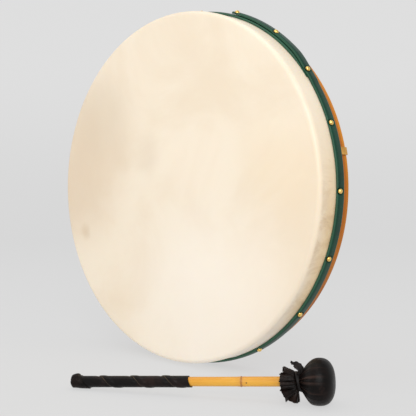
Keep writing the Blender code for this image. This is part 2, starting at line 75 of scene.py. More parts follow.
# Trim band
BAND_MIDDLE = -(BAND_LOW.y + BAND_HIGH.y) / 2
BAND_WIDTH = BAND_HIGH.y - BAND_LOW.y
BAND_INNER = SKIN_RADIUS + GAP
BAND_THICKNESS = -BAND_LOW.z - BAND_INNER
BAND_START_DEG = 35.0
BAND_END_DEG = 360 + 72.2
PARED_THICKNESS = 0.6 * MM  # what is left of the strip at its very start
PARED_DEG = 10.0  # the stretch in which it grows to full thickness
CLIMB_DEG = 3.0  # the stretch that climbs onto its own start
CLIMB_CLEAR_DEG = 0.5  # how far before it the climb ends
BAND_DRIFT = (0.7 * MM, -0.5 * MM)  # how far off its line it starts and ends
DRIFT_DEG = 60  # the stretch that brings it back to its line
RIB_PITCH = 1.2 * MM
RIB_HEIGHT = 0.03 * MM
RIB_STEPS = 4
BAND_STEPS = 20
FRONT_CROWN = (0.42, 3.0)  # thickness left at the edge, and how square the crown is
REAR_CROWN = (0.6, 6.0)
UNDERSIDE = 0.14  # thickness share where its edge turns under
UNDERSIDE_EASE = 0.4 * MM
DIMPLE_REACH = 5.6 * MM  # how far from a tack it is still pulled in

# Bars and fasteners
BAR_WIDTH = 20 * MM
BAR_THICKNESS = 14 * MM
BAR_EDGE = 1.4 * MM
TENON_WIDTH = 9 * MM
TENON_PROUD = 2.3 * MM
BAR_SHOULDER = SHELL_INNER - 0.7 * MM
LEVEL_BAR_ANGLE = radians(11.25)
UPRIGHT_BAR_ANGLE = LEVEL_BAR_ANGLE + pi / 2
TACK_RADIUS = 3.35 * MM
TACK_HEIGHT = 3.1 * MM
TACK_RIM = 0.12 * MM
TACK_HOLLOW = 0.15 * MM  # of the head's underside
TACK_FLAT = 0.5 * MM
TACK_SHANK = 0.6 * MM
TACK_LENGTH = 10.5 * MM
TACK_SINK = 1.4 * MM  # how far a head is pulled into the padded band
POINT = 1.5 * MM  # of a tack or a pin
PIN_RADIUS = 0.8 * MM
PIN_HEAD = 1.6 * MM
PIN_HEAD_THICKNESS = 0.6 * MM
PIN_LENGTH = 19 * MM
PINS = 4

# Beater, on its own axis: +Z towards the head, +X towards the floor, 0 at the head's middle
CANE_RADIUS = 5.4 * MM
CANE_CHAMFER = 0.8 * MM
CANE_END = 6.0 * MM
CANE_START = -282.5 * MM
CANE_NODE = -84.1 * MM  # the ring where a leaf grew
CANE_NODE_REACH = 8 * MM  # the finely stepped stretch to either side of it
CANE_RING = ((0.28, -0.5, 3.4), (0.34, -0.7, 0.5), (-0.22, 0.7, 0.5))  # rise, place and width in mm
CANE_SPECK = (0.3 * MM, -CANE_RADIUS, -78.2 * MM)
GRIP_START = -268.1 * MM
GRIP_END = -143.2 * MM
GRIP_SLANT = radians(16.5)
GRIP_PITCH = 37.6 * MM
GRIP_OVERLAP = 6 * MM
GRIP_THICKNESS = 0.8 * MM
GRIP_FIRST_EDGE = -202.5 * MM - 0.75 * GRIP_PITCH
GRIP_PARED = 0.3 * MM
GRIP_LIFT = GRIP_PARED + 0.2 * MM  # how far a turn stands over the one before it
GRIP_START_SHEAR = 0.73  # the slant of the grip's joint with the pommel
GRIP_TURN_STEPS = 84
POMMEL_RADIUS = 8.3 * MM
POMMEL_MIDDLE = -278.2 * MM
POMMEL_END = -285.1 * MM
POMMEL_ROUNDING = 2.4 * MM
POMMEL_AXIS = 0.3 * MM  # how near to the axis its end closes
POMMEL_CREASES = ((4.5, 0.9, 0.6), (5.3, 1.2, 0.4), (3.7, 0.7, 0.5))  # angle, slant and depth in mm
HEAD_RADIUS = 25.6 * MM
HEAD_TIP = 18.1 * MM
HEAD_WIDEST = 1.0 * MM
HEAD_SQUARENESS = 2.5
HEAD_BACK_POWER = 2.1
HEAD_STEPS = (22, 26)  # rings before and behind its widest place
AROUND = 360
NECK_TOP = -18.5 * MM
NECK_BOTTOM = -24.8 * MM
NECK_RADIUS = 9.0 * MM
NECK_SHARES = (0.3, 0.6, 0.85)  # where the rings lie along the neck
NECK_LEATHER = NECK_RADIUS - 0.25 * MM
HEAD_SAG = 1.6 * MM  # how far the leather hangs behind the ball, on the floor side
HEAD_DENT = 0.35 * MM
BALL_PLEAT = 1.0 * MM
NECK_PLEAT = 0.5 * MM
LEATHER = 0.935 * MM
RUFF_TILT = 1.6 * MM  # how much nearer to the head the lace lies on the floor side
RUFF_PUFF = 2.6 * MM  # how far the ruff bulges before its folds open
RUFF_SWAY = radians(11)  # how far a fold bends over sideways
RUFF_STEPS = 26
TORN_COARSE = 1.3 * MM  # how uneven its torn edge is
TORN_FINE = 0.7 * MM
VALLEY_LEAN = 9.0  # how much nearer to the cane the valleys lie, in degrees

# The ruff's folds: each crest's place round the cane from the floor side and its lean outwards, in
# degrees, and its length in millimetres.
RUFF_FOLDS = (
    (0, 99, 14.2), (38, 66, 17.0), (80, 44, 19.0), (122, 32, 18.0),
    (160, 26, 16.0), (196, 29, 13.8), (236, 13, 18.0), (276, 18, 19.0),
    (316, 50, 19.0), (344, 90, 14.8),
)

# Lace: a loop, a knot, and tails, each with a start, a bend, an end and a width in millimetres.
LACE_WIDTH = 2.2 * MM
LACE_THICKNESS = 0.85 * MM
LACE_MIDDLE = (NECK_TOP + NECK_BOTTOM) / 2 + 0.9 * MM
LACE_RADIUS = NECK_RADIUS + 1.45 * MM
LACE_OVERLAP = 0.5 * MM  # how far each turn is lifted or sunk where they cross
LACE_SPREAD = 1.9 * MM  # how far each turn lies from the middle
LACE_STEPS = 160
LACE_CROSSING = radians(262)  # where its two turns cross
LACE_TAILS = (
    ((-9.3, -5.0, -20.5), (-17.6, -4.5, -11.8), (-20.4, -0.5, -27.2), 6.0),
    ((-9.3, -6.0, -20.5), (-14.5, -7.0, -16.5), (-18.0, -4.5, -25.5), 3.4),
    ((-20.0, -1.2, -25.0), (-21.4, 0.0, -27.5), (-22.4, 0.3, -29.0), 1.5),
    ((-19.6, -1.4, -25.5), (-20.6, -0.8, -27.5), (-20.9, -0.6, -29.4), 1.3),
    ((-18.8, -1.6, -25.2), (-19.6, -1.6, -27.0), (-19.4, -1.8, -28.4), 1.3),
)
TAIL_STEPS = 18
KNOT_STEPS = 24

# Patches on the face of the skin: faint real stains, two large dark ones on the left that also paint the
# shade there, and pale patches lower right and in the middle that paint light. Place across and up, radius,
# strength and colour.
FACE_PATCHES = (
    ((-0.150, 0.100), 0.075, 0.62, (220, 202, 176)),
    ((-0.205, 0.010), 0.110, 0.62, (218, 194, 164)),
    ((-0.060, 0.042), 0.030, 0.40, (224, 205, 180)),
    ((-0.110, 0.050), 0.030, 0.35, (224, 203, 176)),
    ((-0.186, -0.066), 0.013, 0.4, (206, 178, 142)),
    ((0.185, 0.020), 0.070, 0.35, (240, 216, 180)),
    ((0.130, 0.060), 0.040, 0.20, (238, 216, 184)),
    ((0.060, -0.150), 0.150, 0.75, (252, 242, 228)),
    ((0.030, 0.040), 0.060, 0.35, (250, 236, 216)),
)
PATCH_BEND = 0.05  # how far noise bends the patches' outlines

# Studio: a floor that curves up into a wall, three lights and the camera
FLOOR_Z = BAND_LOW.z
FLOOR_RADIUS = 2.4
FLOOR_CURVE = 0.9
WALL_HEIGHT = 3.2
BACKDROP = 0.14
FLOOR_GLOW = 0.575
WALL_GLOW = 0.625
WORLD_STRENGTH = 0.62
LIGHTS = (  # name, place, width, height and energy
    ("key", (1.45, -1.55, 0.85), 0.7, 1.5, 23),
    ("top", (-0.2, -0.3, 2.0), 1.4, 1.4, 8),
    ("fill", (-1.6, -1.2, 0.6), 1.2, 1.2, 3),
)
CAMERA_LENS = 68.0
CAMERA_AT = (0.7237, -0.7841, 0.0050)
CAMERA_LOOKS = (-0.67209, 0.73987, -0.02992)
CAMERA_ROLL = radians(0.20)


def front(depth):
    """Height on the drum's axis of a place that far behind the skin's face."""
    return FACE - depth


def smoothstep(low, high, value):
    share = min(max((value - low) / (high - low), 0), 1)
    return share * share * (3 - 2 * share)


def bell(offset, width):
    """1 at 0, and nearly 0 from two widths away on either side."""
    return math.exp(-(offset / width) ** 2)


def linear(color):
    """Linear RGBA for a screen colour of 0 to 255 or an even grey of 0 to 1."""
    if isinstance(color, float):
        return color, color, color, 1
    shares = [c / 255 for c in color]
    return *(((c + 0.055) / 1.055) ** 2.4 if c > 10 / 255 else c / 12.92 for c in shares), 1


def polar(radius, angle, height=0.0):
    """A point that far from the Z axis."""
    return radius * cos(angle), radius * sin(angle), height


def turns(steps):
    """Evenly spaced angles round the Z axis."""
    return [2 * pi * j / steps for j in range(steps)]


def wander(radius, angle, height):
    """Smooth noise round the Z axis, about -1 to 1. A larger radius makes it finer."""
    return noise.noise(Vector(polar(radius, angle, height)))


def node_points(name):
    """A CAD node's vertices as an array."""
    return np.array([v.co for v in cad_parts[name].data.vertices], float)


def drum_points(name):
    """A CAD node's vertices on the drum's own axes, and their middle."""
    into_drum = DRUM.inverted()
    points = [into_drum @ Vector(p) for p in node_points(name)]
    return points, sum(points, Vector()) / len(points)


def beater_matrix():
    """The beater's own axes in the row frame, found from its cane."""
    points = np.unique(node_points("cane_shaft").round(6), axis=0)
    middle = points.mean(0)
    axis = Vector(np.linalg.svd(points - middle, full_matrices=False)[2][0])
    if axis.x < 0:
        axis = -axis
    reach = max(Vector(p - middle).dot(axis) for p in points)
    origin = Vector(middle) + axis * (reach - CANE_END)
    side = Vector((-axis.y, axis.x, 0)).normalized()
    down = side.cross(axis)
    turn = Matrix((down, side, axis)).transposed().to_4x4()
    return Matrix.Translation(origin) @ turn


BEATER = beater_matrix()


# Meshes

def linked(obj):
    """The object, in the scene."""
    if obj.name not in bpy.context.scene.collection.objects:
        bpy.context.scene.collection.objects.link(obj)
    return obj


def finish_piece(obj, matrix, body, look, node):
    """Puts a piece in place on its body, with its look, standing for its CAD node."""
    linked(obj).matrix_world = matrix
    obj.data.materials.clear()
    obj.data.materials.append(look)
    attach(obj, body)
    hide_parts(node)


def applied(obj):
    """The object with its modifiers made part of its mesh."""
    linked(obj)
    bpy.context.view_layer.update()
    evaluated = obj.evaluated_get(bpy.context.evaluated_depsgraph_get())
    mesh = bpy.data.meshes.new_from_object(evaluated)
    obj.modifiers.clear()
    obj.data = mesh
    return obj


def smooth(obj, angle):
    obj.data.shade_smooth()
    obj.data.set_sharp_from_angle(angle=radians(angle))
    return obj


def as_object(name, cage, mesh=None):
    """An object made from a bmesh, in a new mesh if none is given."""
    mesh = mesh or bpy.data.meshes.new(name)
    cage.to_mesh(mesh)
    cage.free()
    return bpy.data.objects.new(name, mesh)


def loft(name, rings, along=False, caps=True, outwards=True):
    """A surface through closed rings of points. along joins the last ring to the first."""
    count = len(rings[0])
    faces = []
    for i in range(len(rings) if along else len(rings) - 1):
        a = i * count
        b = (i + 1) % len(rings) * count
        for j in range(count):
            k = (j + 1) % count
            faces.append((a + j, a + k, b + k, b + j))
    if caps and not along:
        start = (len(rings) - 1) * count
        faces += [tuple(range(count))[::-1], tuple(range(start, start + count))]
    mesh = bpy.data.meshes.new(name)
    mesh.from_pydata([tuple(p) for ring in rings for p in ring], [], faces)
    cage = bmesh.new()
    cage.from_mesh(mesh)
    bmesh.ops.remove_doubles(cage, verts=cage.verts, dist=0.002 * MM)
    if outwards:
        bmesh.ops.recalc_face_normals(cage, faces=cage.faces)
    return as_object(name, cage, mesh)


def turned(profile, steps, wobble):
    """Rings round the Z axis through (radius, height) pairs. wobble may move each point."""
    rings = []
    for radius, height in profile:
        ring = []
        for angle in turns(steps):
            r, z = wobble(radius, height, angle) if wobble else (radius, height)
            ring.append(polar(r, angle, z))
        rings.append(ring)
    return rings


def lathe(name, profile, steps, wobble=None):
    """A turned solid. Its profile is closed if it keeps off the axis."""
    return loft(name, turned(profile, steps, wobble), along=profile[0][0] > 0, caps=False)


def arc(centre, radius, first_deg, last_deg, steps):
    """Points on a circle in a profile, both ends included."""
    points = []
    for i in range(steps + 1):
        angle = radians(first_deg + (last_deg - first_deg) * i / steps)
        points.append((centre[0] + radius * cos(angle), centre[1] + radius * sin(angle)))
    return points


def between(first, last, steps):
    """Evenly spaced points on a line, without its first point."""
    return [tuple(a + (b - a) * i / steps for a, b in zip(first, last)) for i in range(1, steps + 1)]


def block(name, size, location, rotation):
    """A box, linked, because modifiers need it in the scene."""
    cage = bmesh.new()
    bmesh.ops.create_cube(cage, size=1, matrix=Matrix.Diagonal((*size, 1)))
    obj = as_object(name, cage)
    obj.location = location
    obj.rotation_euler = rotation
    return linked(obj)


def carve(obj, cutters):
    """Cuts every cutter out of the object and removes the cutters."""
    for cutter in cutters:
        boolean = obj.modifiers.new(cutter.name, "BOOLEAN")
        boolean.operation = "DIFFERENCE"
        boolean.solver = "EXACT"
        boolean.object = cutter
    applied(obj)
    for cutter in cutters:
        bpy.data.objects.remove(cutter)
    return obj


# Materials

class Look:
    """A material under construction: a Principled shader and the nodes that feed it."""

    def __init__(self, name, color, roughness, **sockets):
        self.material = bpy.data.materials.new(name)
        self.material.use_nodes = True
        self.tree = self.material.node_tree
        self.shader = self.tree.nodes["Principled BSDF"]
        self.shader.inputs["Base Color"].default_value = linear(color)
        self.shader.inputs["Roughness"].default_value = roughness
        for key, value in sockets.items():
            self.shader.inputs[key.replace("_", " ")].default_value = value
        self.material.diffuse_color = linear(color)
        self.color = color

    def node(self, kind, values=(), **settings):
        """A node with its settings, and a value or a link for each named input."""
        made = self.tree.nodes.new("ShaderNode" + kind)
        for key, value in settings.items():
            setattr(made, key, value)
        for key, value in dict(values).items():
            if isinstance(value, bpy.types.NodeSocket):
                self.tree.links.new(value, made.inputs[key])
            else:
                made.inputs[key].default_value = value
        return made

    def place(self):
        return self.node("TexCoord").outputs["Object"]

    def stretched(self, vector, scale):
        return self.node("VectorMath", {0: vector, 1: scale}, operation="MULTIPLY").outputs[0]

    def split(self, vector):
        return self.node("SeparateXYZ", {0: vector}).outputs

    def math(self, operation, first, second=0.0):
        return self.node("Math", {0: first, 1: second}, operation=operation).outputs[0]

    def times(self, first, second):
        return self.math("MULTIPLY", first, second)

    def plus(self, first, second):
        return self.math("ADD", first, second)

    def less(self, first, second):
        return self.math("SUBTRACT", first, second)

    def noise(self, vector, scale, detail, rough, bend=0.0):
        values = {"Vector": vector, "Scale": scale, "Detail": detail, "Roughness": rough, "Distortion": bend}
        return self.node("TexNoise", values).outputs["Fac"]

    def step(self, value, low, high, top=1.0):
        """0 as far as low, top from high onwards, smoothly in between."""
        values = {"Value": value, "From Min": low, "From Max": high, "To Max": top}
        return self.node("MapRange", values, interpolation_type="SMOOTHSTEP").outputs[0]

    def mix(self, share, first, second):
        """Colour first turned into colour second by share."""
        made = self.node("Mix", data_type="RGBA")
        for index, value in ((0, share), (6, first), (7, second)):
            if isinstance(value, bpy.types.NodeSocket):
                self.tree.links.new(value, made.inputs[index])
            else:
                made.inputs[index].default_value = linear(value) if index else value
        return made.outputs[2]

    def around(self, radius, turn=0.0):
        """Distance round the Z axis, distance outwards and height, as one vector."""
        rotated = self.node("VectorRotate", {"Vector": self.place(), "Angle": turn}, rotation_type="Z_AXIS")
        x, y, z = self.split(rotated.outputs[0])
        angle = self.math("ARCTAN2", y, x)
        out = self.math("SQRT", self.plus(self.times(x, x), self.times(y, y)))
        values = {0: self.times(angle, radius), 1: out, 2: z}
        return self.node("CombineXYZ", values).outputs[0]

    def tint(self, share, color):
        """Lays a colour over the look's own by share."""
        self.color = self.mix(share, self.color, color)

    def link(self, socket, source):
        self.tree.links.new(source, self.shader.inputs[socket])

    def wear(self, height, distance, strength, rough=None):
        """The material, its shader linked to its colour, its bumps and, if given, its roughness."""
        values = {"Height": height, "Distance": distance, "Strength": strength}
        self.link("Normal", self.node("Bump", values).outputs[0])
        self.link("Base Color", self.color)
        if rough is not None:
            self.link("Roughness", rough)
        return self.material


def skin_look():
    """Scraped goatskin: creamy and faintly clouded, stained and with painted light and shade on its face, a
    little browner all round its skirt, browner and darker on its lower skirt as painted shade, with fine
    hair marks.
    """
    look = Look("goatskin", (245, 230, 206), 0.42, Subsurface_Weight=0.08, Sheen_Weight=0.05)
    look.shader.inputs["Subsurface Radius"].default_value = (0.004, 0.0025, 0.0012)
    here = look.place()
    y, z = look.split(here)[1:]
    cloud = look.noise(here, 7, 5, 0.6, 0.6)
    small = look.noise(look.stretched(here, (1, 1, 0.5)), 42, 6, 0.6, 0.3)
    look.color = look.mix(look.step(cloud, 0.36, 0.68), (244, 230, 208), (238, 221, 196))
    drift = look.node("TexNoise", {"Vector": here, "Scale": 14.0, "Detail": 4.0}).outputs["Color"]
    by = (PATCH_BEND,) * 3
    bent = look.node("VectorMath", {0: drift, 1: by, 2: here}, operation="MULTIPLY_ADD").outputs[0]
    # Painted light and shade: the pale patches brighten the face where light falls, the large dark ones on
    # the left darken it where shade falls, and the rest are stains.
    for (across, up), radius, strength, patch_colour in FACE_PATCHES:
        place = (across + PATCH_BEND / 2, up + PATCH_BEND / 2, FACE + PATCH_BEND / 2)
        away = look.node("VectorMath", {0: bent, 1: place}, operation="DISTANCE").outputs["Value"]
        look.tint(look.step(away, radius * 1.25, radius * 0.2, strength), patch_colour)
    skirt = look.step(z, FACE - 2 * MM, FACE - 6 * MM)
    streak = look.noise(look.stretched(look.around(SKIN_RADIUS), (1, 1, 0.25)), 260, 4, 0.65, 0.4)
    mottle = look.noise(look.stretched(here, (1, 1, 0.6)), 30, 5, 0.65, 0.8)
    # Painted shade: low marks the lower part of the drum, where the skirt is tinted tan and mottled brown,
    # darker as if in shade; a faint tan goes all round the skirt.
    low = look.times(look.step(y, 0.09, -0.05), look.step(y, -0.185, -0.13))
    down = look.step(z, FACE - 1 * MM, FACE - 24 * MM)
    tan_and_shade = look.times(down, look.plus(look.times(low, 0.85), 0.1))
    look.tint(tan_and_shade, (232, 205, 162))
    brown = look.times(look.times(skirt, low), look.step(mottle, 0.42, 0.68))
    look.tint(look.times(brown, 0.5), (190, 156, 112))
    hairs = look.times(look.step(streak, 0.60, 0.74), look.plus(tan_and_shade, 0.08))
    look.tint(look.times(hairs, 0.30), (172, 136, 94))
    height = look.plus(small, look.times(streak, 0.5))
    rough = look.plus(look.times(look.step(small, 0.1, 1.2), 0.25), 0.32)
    return look.wear(height, 0.12 * MM, 0.5, rough)


def wood_look(name, pale, mid, dark, bent, coat):
    """Varnished hardwood whose grain follows the bend, or a bar's length. A bent shell is painted darker
    towards its bottom, as shade under light from above.
    """
    look = Look(name, mid, 0.42, Coat_Weight=coat, Coat_Roughness=0.12, Specular_IOR_Level=0.1)
    if bent:
        along = look.stretched(look.around(SHELL_OUTER, pi - SCARF_ANGLE), (0.06, 1, 1))
    else:
        along = look.stretched(look.place(), (0.06, 1, 1))
    figure = look.noise(along, 85, 6, 0.6, 0.5)
    pore = look.noise(along, 620, 3, 0.6, 0.0)
    blotch = look.noise(look.place(), 9, 3, 0.5)
    look.color = look.mix(look.step(figure, 0.34, 0.66), dark, pale)
    look.tint(0.5, mid)
    look.tint(look.step(pore, 0.58, 0.72, 0.45), dark)
    look.tint(look.step(blotch, 0.45, 0.75, 0.3), dark)
    # Painted shade: the bent shell is tinted darker towards its bottom, as if lit from above.
    if bent:
        look.tint(look.step(look.split(look.place())[1], 0.16, -0.12, 0.55), dark)
    height = look.less(look.times(figure, 0.5), look.step(pore, 0.58, 0.75))
    rough = look.plus(look.times(pore, 0.25), 0.28)
    return look.wear(height, 0.06 * MM, 0.6, rough)


def band_look():
    """Dark green ribbed strip, a little paler in its weave, and paler at both edges as a painted highlight.
    """
    look = Look("green_band", (10, 62, 44), 0.36, Specular_IOR_Level=0.22)
    here = look.around(BAND_INNER)
    along, _, z = look.split(here)
    thread = look.math("SINE", look.times(along, 2 * pi / (RIB_PITCH / 2)))
    weave = look.noise(look.stretched(here, (1, 1, 0.3)), 900, 3, 0.6)
    cloud = look.noise(look.place(), 26, 5, 0.6)
    edge = look.math("ABSOLUTE", look.less(z, BAND_MIDDLE))
    # Painted highlight: both edges are tinted paler, as the light caught by the rounded crown.
    pale_share = look.step(edge, 0.36 * BAND_WIDTH, 0.5 * BAND_WIDTH, 0.35)
    look.color = look.mix(look.step(cloud, 0.3, 0.7), (5, 48, 34), (9, 64, 46))
    look.tint(look.step(weave, 0.5, 0.75, 0.25), (40, 92, 72))
    look.tint(pale_share, (84, 126, 102))
    height = look.plus(look.times(thread, 0.25), weave)
    return look.wear(height, 0.05 * MM, 0.4)


def brass_look():
    """Polished brass, darker and duller where it isn't touched."""
    look = Look("brass", (236, 200, 118), 0.2, Metallic=1.0)
    here = look.place()
    tarnish = look.noise(here, 420, 4, 0.6)
    scratch = look.noise(look.stretched(here, (1, 4, 1)), 1500, 2, 0.5)
    look.color = look.mix(look.step(tarnish, 0.5, 0.75), (246, 206, 120), (196, 138, 60))
    rough = look.plus(look.times(scratch, 0.15), 0.12)
    return look.wear(scratch, 0.01 * MM, 0.1, rough)


def bamboo_look():
    """Yellow bamboo with lengthwise fibres, a brown ring and one dark speck."""
    look = Look("bamboo", (222, 160, 60), 0.34, Coat_Weight=0.12, Coat_Roughness=0.2)
    here = look.place()
    z = look.split(here)[2]
    fibre = look.noise(look.stretched(here, (1, 1, 0.02)), 520, 4, 0.6)
    broad = look.noise(look.stretched(here, (1, 1, 0.12)), 95, 4, 0.55)
    look.color = look.mix(look.step(broad, 0.32, 0.7), (230, 172, 58), (210, 140, 30))
    look.tint(look.step(fibre, 0.52, 0.72, 0.4), (176, 108, 30))
    from_node = look.math("ABSOLUTE", look.less(z, CANE_NODE))
    ragged = look.noise(here, 700, 3, 0.6)
    shifted = look.plus(from_node, look.times(ragged, 1.6 * MM))
    look.tint(look.step(shifted, 2.6 * MM, 1.1 * MM, 0.75), (132, 76, 38))
    look.tint(look.step(from_node, 9 * MM, 1 * MM, 0.25), (190, 120, 56))
    speck = look.node("VectorMath", {0: here, 1: CANE_SPECK}, operation="DISTANCE")
    dot = look.step(speck.outputs["Value"], 1.0 * MM, 0.5 * MM)
    look.tint(dot, (60, 32, 18))
    rough = look.plus(look.times(fibre, 0.25), 0.22)
    return look.wear(fibre, 0.05 * MM, 0.6, rough)


def wound_edge(look):
    """Above 0 along the cut edge of the strip that is wound round the cane."""
    x, y, z = look.split(look.place())
    turn = look.math("DIVIDE", look.math("ARCTAN2", y, x), 2 * pi)
    along = look.math("DIVIDE", look.less(z, GRIP_FIRST_EDGE), GRIP_PITCH)
    part = look.math("FRACT", look.plus(look.less(along, turn), 0.5))
    away = look.math("ABSOLUTE", look.less(part, 0.5))
    return look.step(away, 0.5 * MM / GRIP_PITCH, 0.2 * MM / GRIP_PITCH, 0.7)


def leather_look(name, dark, worn, crease, rough, shine, gathered=0.0, wound=False):
    """Soft black leather: fine grain, creases, worn places and, if gathered, drawn lines, tinted brown as
    wear and as a painted highlight along the pleats.
    """
    look = Look(name, dark, rough, Specular_IOR_Level=shine)
    here = look.place()
    pebble = look.node("TexVoronoi", {"Vector": here, "Scale": 2200.0}).outputs["Distance"]
    fold = look.noise(look.stretched(here, crease), 150, 5, 0.6, 0.8)
    cloud = look.noise(here, 45, 4, 0.6)
    height = look.split(here)[2]
    loose = look.step(height, NECK_TOP, NECK_BOTTOM)
    pale_share = look.plus(look.times(loose, 0.4), 0.25)
    look.color = look.mix(look.times(look.step(cloud, 0.42, 0.75), pale_share), dark, worn)
    look.tint(look.step(fold, 0.56, 0.72, 0.5), worn)
    if wound:
        look.tint(wound_edge(look), (104, 90, 72))
    relief = look.plus(look.times(pebble, 0.2), fold)
    if gathered:
        drawn = look.stretched(look.around(HEAD_RADIUS, pi / 2), (1, 0.03, 0.03))
        lines = look.times(look.noise(drawn, 330, 4, 0.6, 0.3), gathered)
        fade = look.step(height, 15 * MM, -10 * MM)
        fade = look.less(fade, look.times(loose, 0.65))
        relief = look.plus(relief, look.times(lines, fade))
        # Painted highlight and wear: paler brown lines along the pleats, standing both for worn leather and
        # for the light streaks on the pleats.
        streak = look.step(look.noise(drawn, 210, 3, 0.6, 0.3), 0.5, 0.72)
        look.tint(look.times(streak, fade), (60, 44, 38))
    changed = look.plus(look.times(fold, 0.3), rough - 0.15)
    return look.wear(relief, 0.3 * MM, 0.5, changed)


def wool_look():
    """Packed sheep's wool: pale, matt and fibrous."""
    look = Look("wool", (214, 204, 184), 0.95, Sheen_Weight=0.4)
    here = look.place()
    fibre = look.noise(look.stretched(here, (1, 3, 1)), 380, 6, 0.7, 2.0)
    look.color = look.mix(look.step(fibre, 0.35, 0.7), (188, 176, 152), (228, 220, 202))
    return look.wear(fibre, 0.8 * MM, 0.8)


# Drum pieces

def make_skin(look):
    """The stretched head: a flat face, the bend over the edge, and a rippling skirt."""
    centre = (SKIN_RADIUS - EDGE_ROUNDING, front(EDGE_ROUNDING))
    hem = (SKIN_RADIUS, SKIN_HEM)
    profile = [(0, FACE), *between((0, FACE), (centre[0], FACE), 24)[:-1]]
    profile += arc(centre, EDGE_ROUNDING, 90, 0, 10)
    profile += between((SKIN_RADIUS, centre[1]), hem, 14)
    inside = (SKIN_RADIUS - SKIN_THICKNESS, SKIN_HEM)
    profile += [inside, *between(inside, (inside[0], centre[1]), 14)]
    profile += arc(centre, EDGE_ROUNDING - SKIN_THICKNESS, 0, 90, 10)[1:]
    profile += between((centre[0], FACE - SKIN_THICKNESS), (0, FACE - SKIN_THICKNESS), 12)

    def ripple(radius, height, angle):
        depth = smoothstep(FACE - EDGE_ROUNDING, BAND_MIDDLE, height)
        wave = wander(9, angle, height * 30)
        lift = wander(3, angle, 5.0)
        face = radius / SKIN_RADIUS
        return radius + SKIN_RIPPLE * depth * wave, height + SKIN_LIFT * face * lift * (1 - depth)

    skin = lathe("skin", profile, RING_STEPS, ripple)
    finish_piece(smooth(skin, 50), DRUM, "drum", look, "drumhead")


def scarf_cutter():
    """The thin slanted cut through the shell's wall where the plank's ends meet."""
    radius = (SHELL_INNER + SHELL_OUTER) / 2
    place = polar(radius, SCARF_ANGLE, (FACE + REAR) / 2)
    return block("scarf", (GAP, SCARF_LENGTH, 0.2), place, (0, 0, SCARF_ANGLE + SCARF_SLOPE))


def notch_cutter(angle):
    size = (3 * SKIN_RADIUS, TENON_WIDTH + 2 * GAP, 2 * BAR_THICKNESS)
    return block("notch", size, (0, 0, -BAR_THICKNESS / 2 + GAP), (0, 0, angle))


def make_shell(look):
    """The bent plank: a sloping front edge, eased rear edges, four notches and the scarf joint."""
    centre = (SKIN_RADIUS - EDGE_ROUNDING, front(EDGE_ROUNDING))
    bend = EDGE_ROUNDING - SKIN_THICKNESS - GAP
    outer_ease = (SHELL_OUTER - EASED_EDGE, REAR + EASED_EDGE)
    inner_ease = (SHELL_INNER + EASED_EDGE, REAR + EASED_EDGE)
    profile = [(SHELL_INNER, centre[1] + bend - BEARING_SLOPE)]
    profile += arc(centre, bend, 90, 0, 8)
    profile += arc(outer_ease, EASED_EDGE, 0, -90, 4)
    profile += arc(inner_ease, EASED_EDGE, -90, -180, 4)
    shell = lathe("wood_shell", profile, RING_STEPS)
    carve(shell, [notch_cutter(LEVEL_BAR_ANGLE), notch_cutter(UPRIGHT_BAR_ANGLE), scarf_cutter()])
    finish_piece(smooth(shell, 30), DRUM, "drum", look, "shell")


def strip_thickness(angle_deg):
    share = smoothstep(0, PARED_DEG, angle_deg - BAND_START_DEG)
    return PARED_THICKNESS + (BAND_THICKNESS - PARED_THICKNESS) * share


def strip_inner(angle_deg):
    """The strip lies on the skin, then climbs onto its own pared start and follows it."""
    under = angle_deg - 360
    climb_end = BAND_START_DEG - CLIMB_CLEAR_DEG
    lift = strip_thickness(under) + GAP
    return BAND_INNER + lift * smoothstep(climb_end - CLIMB_DEG, climb_end, under)


def tack_places():
    """Each CAD tack's name, angle round the drum, outermost radius and height on the axis."""
    places = []
    for name in sorted(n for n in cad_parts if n.startswith("tack_")):
        points, middle = drum_points(name)
        angle = math.atan2(middle.y, middle.x)
        out = Vector(polar(1, angle))
        places.append((name, angle, max(p.dot(out) for p in points), middle.z))
    return places


def dimple(angle, height, places):
    """How far the padded strip is pulled in under the tack heads near a point."""
    deepest = 0
    for _, tack_angle, top, middle in places:
        along = math.remainder(angle - tack_angle, 2 * pi) * top
        if abs(along) < DIMPLE_REACH:
            away = math.hypot(along, height - middle)
            deepest = max(deepest, 1 - smoothstep(TACK_RADIUS + GAP, DIMPLE_REACH, away))
    return deepest * (TACK_SINK + GAP)


def strip_ring(angle_deg, section, rib, places):
    """The band's cross-section at one angle. Its two layers don't lie quite in line."""
    over = BAND_START_DEG + 360
    drift = BAND_DRIFT[0] * (1 - smoothstep(BAND_START_DEG, BAND_START_DEG + DRIFT_DEG, angle_deg))
    drift += BAND_DRIFT[1] * smoothstep(over - DRIFT_DEG, over, angle_deg)
    inner = strip_inner(angle_deg)
    thickness = strip_thickness(angle_deg) - RIB_HEIGHT
    angle = radians(angle_deg)
    ring = []
    for across, share in section:
        height = BAND_MIDDLE + drift + across
        radius = inner + share * thickness
        if share > UNDERSIDE:
            radius += rib - dimple(angle, height, places)
        ring.append(polar(radius, angle, height))
    return ring


